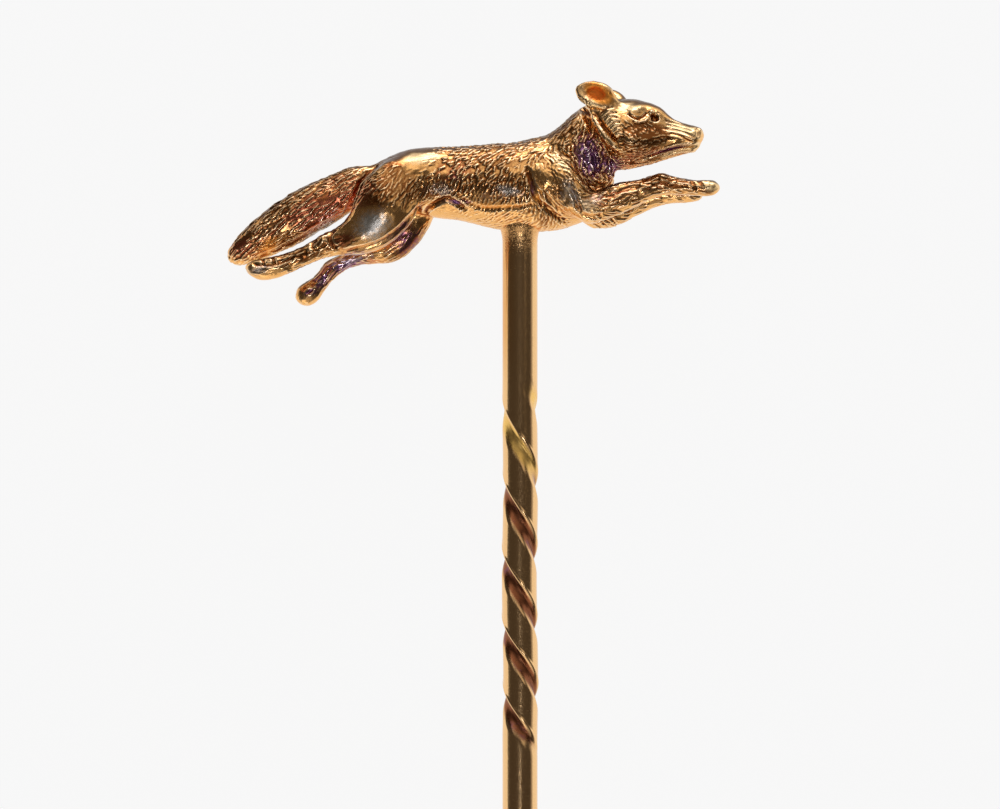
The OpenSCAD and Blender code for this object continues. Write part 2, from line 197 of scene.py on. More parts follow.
# How the coat is combed: x, y, direction in degrees, then a lock's length, width and height
COAT = (
    (-5.61, 2.03, 210, 0.44, 0.1, 0.0342), (-6.45, 1.52, 212, 0.49, 0.1, 0.045),
    (-7.74, 0.97, 213, 0.58, 0.11, 0.045), (-7.01, 0.6, 213, 0.49, 0.1, 0.038),
    (-8.85, 0.23, 215, 0.58, 0.11, 0.045), (-9.96, -0.51, 222, 0.53, 0.11, 0.045),
    (-10.47, -0.91, 230, 0.44, 0.1, 0.0342), (-8.48, -0.25, 208, 0.53, 0.09, 0.038),
    (-7.01, 1.7, 210, 0.53, 0.11, 0.045), (-8.3, 1.15, 215, 0.58, 0.11, 0.045),
    (-4.98, 2.33, 222, 0.4, 0.1, 0.0117), (-3.98, 2.81, 205, 0.35, 0.1, 0.0005),
    (-4.61, 1.52, 238, 0.4, 0.09, 0.0216), (-5.16, 0.6, 228, 0.35, 0.08, 0.003),
    (-5.83, 0.71, 238, 0.54, 0.1, 0.006), (-5.35, -0.18, 205, 0.47, 0.1, 0.002),
    (-6.48, -0.67, 200, 0.47, 0.11, 0.004), (-5.56, -0.48, 205, 0.47, 0.11, 0.003),
    (-4.63, -0.11, 220, 0.47, 0.11, 0.003), (-4.07, 0.37, 235, 0.35, 0.1, 0.004),
    (-6.45, -0.44, 205, 0.47, 0.11, 0.015), (-7.3, -0.36, 210, 0.43, 0.12, 0.024),
    (-8.3, -0.91, 198, 0.47, 0.11, 0.018), (-9.51, -1.14, 190, 0.38, 0.11, 0.012),
    (-9.66, -1.5, 190, 0.27, 0.09, 0.001), (-3.69, -0.25, 236, 0.61, 0.11, 0.024),
    (-4.43, -0.84, 210, 0.61, 0.11, 0.024), (-5.46, -1.03, 185, 0.54, 0.11, 0.021),
    (-6.45, -1.14, 200, 0.47, 0.12, 0.032), (-7.19, -1.54, 228, 0.47, 0.12, 0.032),
    (-7.82, -2.39, 235, 0.34, 0.11, 0.006), (-3.4, 2.68, 212, 0.34, 0.12, 0.0048),
    (-2.85, 2.6, 215, 0.34, 0.14, 0.05), (-1.85, 2.81, 218, 0.36, 0.14, 0.05),
    (-2.4, 1.89, 235, 0.32, 0.13, 0.05), (-3.32, 1.7, 240, 0.34, 0.11, 0.032),
    (-0.74, 2.88, 222, 0.36, 0.13, 0.05), (-0.93, 2.07, 240, 0.34, 0.13, 0.045),
    (-1.29, 1.33, 250, 0.3, 0.11, 0.018), (-0.19, 1.52, 245, 0.36, 0.11, 0.032),
    (-1.85, 0.63, 212, 0.34, 0.08, 0.014), (-0.56, 0.41, 222, 0.4, 0.08, 0.02),
    (0.73, 0.34, 225, 0.4, 0.08, 0.02), (-2.95, 0.85, 200, 0.25, 0.08, 0.008),
    (0.37, 3.18, 215, 0.36, 0.12, 0.036), (0, 2.44, 238, 0.32, 0.12, 0.018),
    (0.66, 1.33, 298, 0.42, 0.1, 0.036), (1.1, 0.71, 300, 0.4, 0.1, 0.036),
    (0.92, 2.07, 300, 0.3, 0.09, 0.006), (1.47, 2.51, 328, 0.34, 0.09, 0.042),
    (2.21, 1.89, 330, 0.34, 0.09, 0.04), (1.66, 1.26, 312, 0.3, 0.1, 0.012),
    (1.47, 3.55, 232, 0.34, 0.11, 0.024), (2.13, 4.17, 235, 0.3, 0.1, 0.024),
    (2.28, 3.18, 260, 0.36, 0.16, 0.13), (2.65, 2.33, 262, 0.38, 0.16, 0.13),
    (2.28, 0.71, 350, 0.3, 0.1, 0.008), (3.13, 0.89, 18, 0.46, 0.13, 0.05),
    (2.95, 1.44, 20, 0.46, 0.12, 0.036), (4.05, 1.33, 22, 0.46, 0.12, 0.036),
    (4.79, 1.78, 15, 0.46, 0.12, 0.032), (5.6, 1.85, 352, 0.46, 0.11, 0.032),
    (6.45, 1.67, 350, 0.38, 0.1, 0.018), (7.07, 1.63, 0, 0.27, 0.09, 0.001),
    (3.31, 0.34, 300, 0.54, 0.09, 0.04), (4.42, 0.71, 20, 0.49, 0.1, 0.021),
    (5.53, 1.11, 10, 0.49, 0.1, 0.018), (2.58, 5.28, 325, 0.25, 0.09, 0.002),
    (2.39, 4.76, 300, 0.25, 0.08, 0.006), (2.95, 4.39, 300, 0.28, 0.09, 0.008),
    (3.39, 3.95, 320, 0.3, 0.1, 0.014), (3.83, 3.51, 325, 0.24, 0.09, 0.028),
    (4.2, 3.07, 15, 0.28, 0.09, 0.03), (4.42, 3.58, 340, 0.2, 0.09, 0.03),
    (3.83, 4.47, 335, 0.26, 0.09, 0.008), (4.42, 4.72, 345, 0.26, 0.09, 0.003),
    (4.86, 3.73, 345, 0.2, 0.08, 0.024), (5.6, 3.88, 343, 0.34, 0.08, 0.003),
    (6.26, 3.66, 342, 0.28, 0.08, 0.003), (5.89, 3.36, 8, 0.28, 0.08, 0.008),
    (4.97, 2.92, 20, 0.28, 0.09, 0.02), (4.42, 2.62, 18, 0.28, 0.09, 0.02),
    (5.75, 2.99, 15, 0.26, 0.08, 0.01),
)
# How far a row of the chart counts
COAT_REACH = 0.45

# The carved coat: how far apart its locks are, how many there may be on a square millimetre, how many lie
# over each other in the mean, how many count at one point, and the seed of their places
LOCK_SPACING = 0.1
LOCK_DENSITY = 110.0
LOCK_LAYERS = 3.2
LOCKS_OVER = 9
LOCK_SEED = 7

# The locks' length, width and height for 1 in the chart, how much single locks differ from it, how much
# they bend and stray from the comb's direction, and the seed of these draws
LOCK_SCALE = (0.82, 0.85, 1.45)
LOCK_VARIETY = (0.15, 0.15, 0.25)
LOCK_BEND = 0.3
LOCK_STRAY = 0.16
STRAY_SEED = 11

# How far the coat is sunk by its mean height, so that the fox keeps its size, and how uneven the metal is
COAT_SINK = 0.6
UNEVENNESS = 0.02

# How worn even metal is, from 0 in a hollow to 1 on a crest, and how much a millimetre of hollow changes that
CREST_MIDDLE = 0.52
CREST_GAIN = 64

# Tarnish, heat colours and painted highlights, brush to nose: x, y, half length, half width, tilt in degrees,
# strength
STAINS = {
    "umber": (
        (-10.37, -0.52, 0.74, 0.33, 38, 0.5), (-10.19, -0.44, 0.67, 0.37, 38, 0.9),
        (-10, 0, 0.74, 0.37, 38, 0.7), (-9.56, -1.3, 0.59, 0.22, 5, 0.9), (-9.56, -1.3, 0.67, 0.3, 10, 0.5),
        (-8.52, -0.85, 1.11, 0.3, 18, 0.9), (-8.52, 1.19, 2.3, 0.44, 33, 0.9),
        (-8.15, 1, 2.22, 0.37, 33, 0.8), (-8.15, -0.96, 1.26, 0.26, 15, 1.2),
        (-8.15, -0.3, 1.11, 0.33, 18, 0.9), (-7.93, -2.07, 0.44, 0.37, 30, 0.7),
        (-7.48, -1.89, 0.67, 0.41, 50, 0.8), (-7.04, -0.52, 0.81, 0.33, 10, 0.9),
        (-6.85, -0.44, 0.81, 0.33, 10, 1.3), (-6.85, -0.41, 0.67, 0.33, 10, 1),
        (-6.67, 2.07, 1.11, 0.3, 30, 0.8), (-6.48, -1.11, 1.11, 0.41, 18, 0.8),
        (-6.3, -1.26, 1.11, 0.37, 20, 0.9), (-5.41, 1.48, 0.74, 1.11, 75, 1.2),
        (-5, 1.37, 0.59, 0.81, 0, 0.4), (-4.78, 2.67, 0.59, 0.44, 20, 0.8), (-4.7, 2.44, 0.63, 0.48, 0, 0.9),
        (-4.67, 2.07, 0.67, 0.44, 20, 0.8), (-4.26, -0.48, 1.26, 0.52, 40, 0.9),
        (-4.22, -0.15, 0.89, 0.52, 45, 0.9), (-4.19, 1.56, 0.52, 0.74, -20, 0.9),
        (-2.96, 1.56, 1.19, 0.56, 10, 1), (-1.85, 2.67, 2.22, 0.52, 3, 0.4),
        (-1.85, 1.19, 2.22, 0.52, 0, 0.5), (-1.85, 1.74, 1.85, 0.59, 0, 0.4),
        (-1.48, 3.04, 2.59, 0.44, 2, 0.5), (-1.48, 2.52, 2.37, 0.52, 3, 0.7),
        (-0.74, 2.96, 0.59, 0.33, 0, 0.6), (-0.74, 1.63, 1.48, 0.67, 0, 1), (-0.74, 3.11, 2.22, 0.22, 3, 0.6),
        (0, 2, 0.52, 0.44, 0, 0.4), (0.93, 0.44, 0.44, 0.3, 0, 0.7), (1.3, 1.37, 0.3, 0.52, -30, 0.6),
        (1.33, 1.33, 0.33, 0.48, 10, 0.6), (1.37, 1.41, 0.3, 0.44, 0, 0.7), (1.7, 3.78, 0.96, 0.59, 55, 0.8),
        (2.52, 2.96, 0.37, 0.89, 10, 0.8), (3.15, 1.19, 0.89, 0.33, 15, 0.6), (4.37, 3.11, 0.89, 0.41, 8, 1),
        (4.44, 1.63, 1.11, 0.37, 10, 0.5), (4.67, 3.59, 0.93, 0.41, -5, 2), (4.74, 3.67, 0.74, 0.41, -5, 0.8),
        (4.96, 4.17, 0.19, 0.15, -45, 1.6), (5.33, 1.78, 1.41, 0.3, 3, 1.5), (5.48, 3, 0.96, 0.11, 14, 1.2),
        (6.22, 1.56, 0.81, 0.33, -5, 0.6), (6.3, 1.63, 0.74, 0.26, 0, 0.8), (6.78, 1.59, 0.22, 0.37, 60, 1.4),
    ),
    "violet": (
        (-7.78, -2.21, 0.33, 0.19, 15, 0.9), (-7.33, -1.74, 0.48, 0.3, 55, 0.9),
        (-7.19, 0.71, 1.26, 0.44, 32, 0.7), (-7.04, 0.63, 1.11, 0.3, 33, 0.8),
        (-6.48, -1.15, 1.04, 0.33, 18, 0.9), (-4.59, -0.19, 0.96, 0.3, 50, 0.5),
        (-4.15, -0.33, 0.74, 0.37, 45, 0.5), (-2.4, 1.08, 0.6, 0.1, 0, 0.8),
        (-2.33, 1.93, 0.44, 0.19, 0, 0.4), (0.44, 1.52, 0.19, 0.37, 0, 0.5), (2.58, 2.7, 0.59, 0.89, 20, 1),
        (3.41, 2.37, 0.44, 0.59, 70, 0.9), (5.48, 3, 0.89, 0.11, 14, 0.7),
    ),
    "copper": (
        (-10.3, -0.59, 0.59, 0.37, 38, 0.9), (-9.51, -0.33, 1.11, 0.59, 35, 0.5),
        (-7.96, 0.74, 1.26, 0.44, 33, 0.9), (-7.41, 1.07, 1.26, 0.37, 32, 1.2),
        (-7.01, 0.97, 1.85, 0.89, 32, 0.9), (-6.45, -0.33, 0.74, 0.52, 0, 0.4),
        (-6.3, 1.26, 0.81, 0.33, 32, 1.2), (-5.48, -1.11, 0.81, 0.19, 8, 0.5),
        (-2.4, 2.18, 0.96, 0.44, 0, 0.45), (2.95, 1.15, 1.48, 0.59, 15, 0.35),
        (3.7, 1.37, 2.22, 0.52, 15, 0.3), (4.42, 2.7, 1.26, 0.3, 14, 0.6),
    ),
    # Grey, partly tarnish and partly a painted whitening of the glints on the haunch and the elbow
    "grey_tarnish_and_glint": (
        (-9.66, -1.43, 0.52, 0.19, 8, 0.6), (-7.19, 0.19, 1.26, 0.19, 32, 0.8),
        (-6.27, -0.99, 0.89, 0.19, 10, 0.5), (-5.41, 0.22, 0.74, 0.59, 20, 1),
        (-2.96, 1.56, 0.74, 0.3, -10, 0.35), (-0.74, 1.37, 1.26, 0.33, 0, 0.25),
        (-0.44, 1.48, 0.59, 0.22, -8, 0.7), (1.69, 1.22, 0.33, 0.44, 0, 0.4),
        (1.89, 1.37, 0.3, 0.67, 25, 0.7), (2.52, 0.96, 0.44, 0.33, 0, 0.6), (2.59, 1.07, 0.59, 0.3, 30, 0.5),
    ),
    # Light gold, partly polish and partly a painted highlight on the hip, shoulder, elbow, ear, crown, jaw,
    # muzzle and paw tip
    "polish_and_highlight": (
        (-3.67, 2.78, 0.63, 0.3, 5, 1.5), (1.52, 2.59, 0.59, 0.3, -45, 0.8), (2.37, 5.26, 0.37, 0.3, 40, 0.6),
        (2.44, 5.33, 0.37, 0.3, 40, 0.8), (2.52, 0.89, 0.52, 0.3, -20, 0.5), (2.59, 4.78, 0.3, 0.52, 40, 0.9),
        (2.85, 5.41, 0.59, 0.15, 0, 0.9), (2.89, 4.67, 0.52, 0.19, -20, 0.5),
        (3.22, 5.33, 0.44, 0.19, -25, 0.5), (3.33, 4.44, 0.52, 0.44, 0, 0.5), (3.37, 4, 0.26, 0.59, 25, 0.8),
        (4, 4.63, 0.67, 0.3, -15, 0.9), (4.15, 4.59, 0.52, 0.3, -10, 0.5), (4.81, 2.74, 0.74, 0.15, 14, 0.5),
        (5.37, 2.81, 1.11, 0.11, 20, 0.6), (6.07, 3.78, 0.81, 0.3, -18, 1), (6.3, 3.11, 0.81, 0.11, 14, 0.8),
        (7.07, 1.7, 0.33, 0.26, 0, 1.2), (7.11, 1.67, 0.22, 0.19, 0, 1.8),
    ),
    "ember": (
        (-9.29, -0.51, 0.59, 0.26, 40, 0.8), (-7.01, 1.44, 1.11, 0.3, 30, 0.4),
        (-0.93, 0.93, 1.26, 0.15, 0, 0.5), (0.59, 1.15, 0.26, 0.67, -20, 0.5),
        (2.89, 5.07, 0.56, 0.31, -32, 2.2),
    ),
}
# How far a stain's soft edge reaches out, for 1 of its half length and width
STAIN_EDGE = 1.5

# Painted shade along the upper edges lies on faces that look along the pin's plane, and up: from none to full
UPPER_SHADE_TURN = (0.74, 0.86)
UPPER_SHADE_UPWARD = (0.3, 0.75)

# Where the fox is cut: a point of each cut and the direction to its front, and the trunk's two ends
NECK_CUT = ((2.1, 4.9), (2.5, 1.5))
CHIN_CUT = ((3.3, 2.1), (-0.1, 1.0))
BRUSH_CUT = ((-5.25, 2.62), (2.21, -1.48))
TRUNK_ENDS = (-2.7, 0.2)


def laying_turn():
    """The rotation that lays the upright pin on the floor."""
    cs, ss = math.cos(SLOPE), math.sin(SLOPE)
    cr, sr = math.cos(ROLL), math.sin(ROLL)
    return np.array([[cr, 0, sr], [0, 1, 0], [-sr, 0, cr]]) @ np.array([[1, 0, 0], [0, cs, -ss], [0, ss, cs]])


LAID = laying_turn()


def upright(points):
    """Points of the frame, in metres, as upright millimetres."""
    return (points / MM - BELLY) @ LAID


def laid_down(points):
    """Upright millimetres as points of the frame, in metres, kept inside the solid's box."""
    low, high = (np.array(corner) for corner in CAD_BOX)
    return np.clip((points @ LAID.T + BELLY) * MM, low, high)


def read(mesh, name="position"):
    """The vectors stored on a mesh's points under a name."""
    values = np.empty(len(mesh.vertices) * 3, np.float32)
    mesh.attributes[name].data.foreach_get("vector", values)
    return values.reshape(-1, 3).astype(float)


def place(mesh, points):
    mesh.vertices.foreach_set("co", points.ravel())
    mesh.update()


def unit(vectors):
    """Vectors brought to the length 1."""
    return vectors / np.maximum(np.linalg.norm(vectors, axis=1, keepdims=True), 1e-9)


def smooth_step(values, low, high):
    """0 below low, 1 above high, and an even ramp between."""
    t = np.clip((values - low) / (high - low), 0, 1)
    return t * t * (3 - 2 * t)


def show(name, mesh):
    thing = bpy.data.objects.new(name, mesh)
    bpy.context.scene.collection.objects.link(thing)
    return thing


class Skin:
    """A closed mesh as arrays, with the averages over neighbours that smoothing needs."""

    def __init__(self, mesh):
        self.points = read(mesh)
        pairs = np.empty(len(mesh.edges) * 2, int)
        mesh.edges.foreach_get("vertices", pairs)
        self.starts, self.ends = pairs.reshape(-1, 2).T
        self.valence = np.bincount(pairs, minlength=len(self.points)).astype(float)
        corners = np.empty(len(mesh.loops), int)
        mesh.loops.foreach_get("vertex_index", corners)
        self.quads = corners.reshape(-1, 4)

    def mean(self, values):
        """Each point's average over its neighbours."""
        columns = values.reshape(len(values), -1)
        found = [np.bincount(self.starts, column[self.ends], len(values))
                 + np.bincount(self.ends, column[self.starts], len(values)) for column in columns.T]
        return (np.array(found) / self.valence).T.reshape(values.shape)

    def smooth(self, values, rounds, share=0.6):
        for _ in range(rounds):
            values = values + share * (self.mean(values) - values)
        return values

    def evened(self, values, rounds, restores):
        """Values without their fine changes: what the smoothing took away is smoothed and put back."""
        kept = self.smooth(values, rounds)
        for _ in range(restores):
            kept = kept + self.smooth(values - kept, rounds)
        return kept

    def normals(self):
        a, b, c, d = (self.points[corners] for corners in self.quads.T)
        faces = np.cross(c - a, d - b)
        total = np.array([sum(np.bincount(corners, face, len(self.points)) for corners in self.quads.T)
                          for face in faces.T]).T
        return unit(total)


def bare_casting():
    """A closed copy of the solid's fox in upright millimetres, with the wire taken off at the belly."""
    shell = bmesh.new()
    shell.from_mesh(SOLID.data)
    for vertex, point in zip(shell.verts, upright(read(SOLID.data))):
        vertex.co = point
    bmesh.ops.remove_doubles(shell, verts=shell.verts, dist=1e-4)
    wire_end = -4
    wire = [vertex for vertex in shell.verts if vertex.co.y < wire_end]
    bmesh.ops.delete(shell, geom=wire, context="VERTS")
    rim = [edge for edge in shell.edges if len(edge.link_faces) == 1]
    bmesh.ops.holes_fill(shell, edges=rim, sides=0)
    bmesh.ops.triangulate(shell, faces=shell.faces)
    mesh = bpy.data.meshes.new("casting")
    shell.to_mesh(mesh)
    shell.free()
    return mesh


def evaluated(thing):
    """The finished mesh of an object with modifiers; the object itself is removed."""
    graph = bpy.context.evaluated_depsgraph_get()
    mesh = bpy.data.meshes.new_from_object(thing.evaluated_get(graph))
    bpy.data.objects.remove(thing)
    return mesh


def even_mesh(mesh, size):
    """The same shape in small even squares."""
    block = show("block", mesh)
    remesh = block.modifiers.new("even squares", "REMESH")
    remesh.mode = "VOXEL"
    remesh.voxel_size = size
    return evaluated(block)


def curve_through(points, steps=6):
    """A smooth line through a few points."""
    p = np.array(points, float)
    p = np.vstack([2 * p[0] - p[1], p, 2 * p[-1] - p[-2]])
    t = np.linspace(0, 1, steps, endpoint=False)[:, None]
    parts = [(2 * b + (c - a) * t + (2 * a - 5 * b + 4 * c - d) * t ** 2
              + (3 * b - a - 3 * c + d) * t ** 3) / 2
             for a, b, c, d in zip(p, p[1:], p[2:], p[3:])]
    return np.vstack(parts + [p[-2:-1]])


def nearest_on(line, xy):
    """Each point's distance from a line, and how far along the line its nearest place is, from 0 to 1."""
    lengths = np.linalg.norm(np.diff(line, axis=0), axis=1)
    run = np.concatenate([[0], np.cumsum(lengths)]) / lengths.sum()
    best = np.full(len(xy), np.inf)
    where = np.zeros(len(xy))
    for k, length in enumerate(lengths):
        step = line[k + 1] - line[k]
        t = np.clip((xy - line[k]) @ step / length ** 2, 0, 1)
        gap = np.linalg.norm(xy - line[k] - t[:, None] * step, axis=1)
        closer = gap < best
        best[closer] = gap[closer]
        where[closer] = (run[k] + t * (run[k + 1] - run[k]))[closer]
    return best, where


def crease(points, half_width, depth, line):
    """How far a carved line moves each point outwards: a rounded cut that fades out at its ends."""
    moved = np.zeros(len(points))
    line = curve_through(line)
    xy = points[:, :2]
    close = np.all((xy > line.min(0) - half_width) & (xy < line.max(0) + half_width), axis=1)
    gap, run = nearest_on(line, xy[close])
    ends = smooth_step(np.minimum(run, 1 - run), 0, 0.15)
    moved[close] = -depth * ends * np.clip(1 - (gap / half_width) ** 2, 0, 1) ** 2
    return moved


def oval(points, x, y, half_length, half_width, tilt):
    """1 in the middle of an oval, falling evenly to 0 at its edge."""
    c, s = math.cos(math.radians(tilt)), math.sin(math.radians(tilt))
    dx, dy = points[:, 0] - x, points[:, 1] - y
    away = ((dx * c + dy * s) / half_length) ** 2 + ((dy * c - dx * s) / half_width) ** 2
    return np.clip(1 - away, 0, 1) ** 2


def sides_of(points, normals):
    """How far each point belongs to the near side and to the far side of the fox."""
    return [smooth_step(side * points[:, 2], -0.05, 0.2) * smooth_step(side * normals[:, 2], 0.0, 0.3)
            for side in (1, -1)]


def side_for(name, normals, near, far):
    """Where a mark of the modelling is cut."""
    if name.startswith("far_"):
        return smooth_step(normals[:, 2], 0.0, 0.3)
    return near if name in NEAR_LEGS else near + far


def carve(skin):
    """Cuts the modelling into the smoothed casting: creases, swellings and a slightly uneven surface."""
    normals = skin.smooth(skin.normals(), 6)
    near, far = sides_of(skin.points, normals)
    moved = np.zeros(len(skin.points))
    for name, (half_width, depth, line) in CREASES.items():
        moved += side_for(name, normals, near, far) * crease(skin.points, half_width, depth, line)
    for name, (*place_of, height) in SWELLINGS.items():
        moved += side_for(name, normals, near, far) * height * oval(skin.points, *place_of)
    lumps = np.array([noise.noise(Vector(p) * 1.7) + 0.5 * noise.noise(Vector(p) * 4.1) for p in skin.points])
    skin.points = skin.points + (moved + UNEVENNESS * lumps)[:, None] * normals


def coat_at(points):
    """The comb direction and lock size of the coat at each point, blended from the chart."""
    chart = np.array(COAT)
    gap2 = ((points[:, None, :2] - chart[None, :, :2]) ** 2).sum(2)
    weights = np.exp(-gap2 / COAT_REACH ** 2) + 1e-9
    weights /= weights.sum(1, keepdims=True)
    angles = np.radians(chart[:, 2])
    comb = np.c_[weights @ np.cos(angles), weights @ np.sin(angles), np.zeros(len(points))]
    return unit(comb), weights @ chart[:, 3:]


def stains_at(points):
    """The strength of each heat colour at each point."""
    found = {}
    for name, rows in STAINS.items():
        found[name] = np.zeros(len(points))
        for x, y, half_length, half_width, tilt, strength in rows:
            patch = strength * oval(points, x, y, half_length * STAIN_EDGE, half_width * STAIN_EDGE, tilt)
            found[name] = np.maximum(found[name], patch)
    return found


def painted_upper_shade(skin):
    """How strong the painted shade along the upper edges is: on the back, the crown and the brush's top."""
    facing = skin.smooth(skin.normals(), 25)
    turned = np.hypot(facing[:, 0], facing[:, 1]) / np.linalg.norm(facing, axis=1)
    upward = facing[:, 1] / np.hypot(facing[:, 0], facing[:, 1])
    return smooth_step(turned, *UPPER_SHADE_TURN) * smooth_step(upward, *UPPER_SHADE_UPWARD)


def keep(mesh, name, values):
    """Stores a number or a vector for each point of a mesh under a name."""
    kind, field = ("FLOAT_VECTOR", "vector") if values.ndim > 1 else ("FLOAT", "value")
    attribute = mesh.attributes.new(name, kind, "POINT")
    attribute.data.foreach_set(field, np.ascontiguousarray(values, np.float32).ravel())


def smooth_casting():
    """The solid's fox without its facets, in squares fine enough to carve."""
    coarse = even_mesh(bare_casting(), COARSE)
    skin = Skin(coarse)
    place(coarse, skin.evened(skin.points, SMOOTH_ROUNDS, RESTORE_ROUNDS))
    fine = even_mesh(coarse, FINE)
    skin = Skin(fine)
    skin.points = skin.evened(skin.points, FINE_ROUNDS, 1)
    return fine, skin


def coat_relief(skin, locks):
    """How high the locks of the coat stand over each point: the highest of those that lie over it counts."""
    places = read(locks)
    facing = read(locks, "facing")
    size = read(locks, "lock_size") * LOCK_SCALE
    comb = read(locks, "comb")
    comb = unit(comb - (comb * facing).sum(1, keepdims=True) * facing)
    across = np.cross(facing, comb)
    draw = np.random.default_rng(STRAY_SEED)
    stray = draw.normal(0, LOCK_STRAY, len(places))[:, None]
    cos, sin = np.cos(stray), np.sin(stray)
    comb, across = comb * cos + across * sin, across * cos - comb * sin
    size = size * draw.lognormal(0, LOCK_VARIETY, size.shape)
    bend = draw.normal(0, LOCK_BEND, len(places))
    tree = kdtree.KDTree(len(places))
    for index, point in enumerate(places):
        tree.insert(point, index)
    tree.balance()
    over = np.array([[hit[1] for hit in tree.find_n(point, LOCKS_OVER)] for point in skin.points])
    normals = skin.normals()
    height = np.zeros(len(skin.points))
    for lock in over.T:
        # Along and across the lock, 1 at its ends and edges: it rises to its tip, and its middle line bends
        away = skin.points - places[lock]
        run = 2 * (away * comb[lock]).sum(1) / size[lock, 0]
        side = 2 * (away * across[lock]).sum(1) / size[lock, 1] + bend[lock] * np.sin(2.2 * run)
        rise = (0.4 + 0.3 * (run + 1)) * np.clip(1 - run ** 4, 0, 1) * np.clip(1 - side ** 2, 0, 1)
        same_side = smooth_step((normals * facing[lock]).sum(1), 0.2, 0.6)
        height = np.maximum(height, rise * size[lock, 2] * same_side)
    return height


def casting(material):
    """The fox, carved and still upright: its skin, and what its finish needs stored at each point."""
    mesh, skin = smooth_casting()
    carve(skin)
    place(mesh, skin.points)
    comb, size = coat_at(skin.points)
    keep(mesh, "comb", comb)
    keep(mesh, "lock_size", size)
    keep(mesh, "thinning", np.clip(LOCK_LAYERS * LOCK_SPACING ** 2 / (size[:, 0] * size[:, 1]), 0, 1))
    locks = run_tree(mesh, scatter_tree(material))
    normals = skin.normals()
    height = skin.smooth(coat_relief(skin, locks), 1)
    skin.points = skin.points + (height - COAT_SINK * skin.smooth(height, 30))[:, None] * normals
    hollow = ((skin.smooth(skin.points, 6) - skin.points) * skin.normals()).sum(1)
    crest = np.clip(CREST_MIDDLE - CREST_GAIN * hollow, 0, 1)
    return skin, {"crest": crest, "upper_shade": painted_upper_shade(skin), **stains_at(skin.points)}


def spread(skin, start, allowed):
    """The points that can be reached from a start without leaving the allowed ones."""
    reached = start & allowed
    while True:
        wider = allowed & (reached | (skin.mean(reached.astype(float)) > 0))
        if (wider == reached).all():
            return reached
        reached = wider


def ahead_of(points, cut):
    """Which points lie on the front side of a cut."""
    place_of, front = np.array(cut)
    return (points[:, :2] - place_of) @ front > 0


def quarters(skin):
    """Which part of the fox each point belongs to: its head, brush, forequarters, trunk or hindquarters."""
    x, y, _ = skin.points.T
    nose, brush_tip = x + y > 10, x < -10.5
    head = spread(skin, nose, ahead_of(skin.points, NECK_CUT) & ahead_of(skin.points, CHIN_CUT))
    brush = spread(skin, brush_tip, ~ahead_of(skin.points, BRUSH_CUT))
    rest = ~head & ~brush
    rear, front = TRUNK_ENDS
    return {"head": head, "brush": brush, "forequarters": rest & (x > front),
            "trunk": rest & (x <= front) & (x > rear), "hindquarters": rest & (x <= rear)}


def cut_out(name, skin, layers, inside):
    """One part of the fox as a closed mesh: its squares, and a cap on each cut, hidden inside the metal."""
    quads = skin.quads[inside[skin.quads[:, 0]]]
    used, quads = np.unique(quads, return_inverse=True)
    quads = quads.reshape(-1, 4)
    points, normals = skin.points[used], skin.normals()[used]
    size = len(used)
    sides = np.vstack([quads[:, [k, (k + 1) % 4]] for k in range(4)])
    forward, backward = sides[:, 0] * size + sides[:, 1], sides[:, 1] * size + sides[:, 0]
    rim = sides[~np.isin(forward, backward)]
    loop = np.arange(size)
    while True:
        lowest = loop.copy()
        np.minimum.at(lowest, rim[:, 0], loop[rim[:, 1]])
        np.minimum.at(lowest, rim[:, 1], loop[rim[:, 0]])
        if (lowest == loop).all():
            break
        loop = lowest
    caps = []
    for label in np.unique(loop[rim[:, 0]]):
        edges = rim[loop[rim[:, 0]] == label]
        caps += [(b, a, len(points)) for a, b in edges]
        points = np.vstack([points, points[edges[:, 0]].mean(0)])
        normals = np.vstack([normals, [[0, 0, 1.0]]])
    mesh = bpy.data.meshes.new(name)
    mesh.from_pydata(laid_down(points), [], quads.tolist() + caps)
    extra = len(points) - size
    for layer, values in layers.items():
        keep(mesh, layer, np.concatenate([values[used], np.zeros(extra)]))
    mesh.shade_smooth()
    mesh.normals_split_custom_set_from_vertices((normals @ LAID.T).tolist())
    return mesh


class Value:
    """A node's output in a node tree, on which Python's operators add Math nodes."""

    def __init__(self, tree, socket):
        self.tree = tree
        self.socket = socket

    def math(self, operation, *others):
        return self.tree.number(operation, self, *others)

    __add__ = __radd__ = partialmethod(math, "ADD")
    __mul__ = __rmul__ = partialmethod(math, "MULTIPLY")
    __sub__ = partialmethod(math, "SUBTRACT")
    __truediv__ = partialmethod(math, "DIVIDE")
    __pow__ = partialmethod(math, "POWER")
    at_most = partialmethod(math, "MINIMUM")
    at_least = partialmethod(math, "MAXIMUM")

    def __rsub__(self, other):
        return self.tree.number("SUBTRACT", other, self)

    def __rtruediv__(self, other):
        return self.tree.number("DIVIDE", other, self)

    def __neg__(self):
        return 0 - self

    def clamped(self):
        return self.at_least(0).at_most(1)

    def ramp(self, low, high):
        """0 at low, 1 at high, and an even ramp between."""
        inputs = {"Value": self, "From Min": low, "From Max": high}
        return self.tree.add("ShaderNodeMapRange", {"interpolation_type": "SMOOTHSTEP"}, inputs)


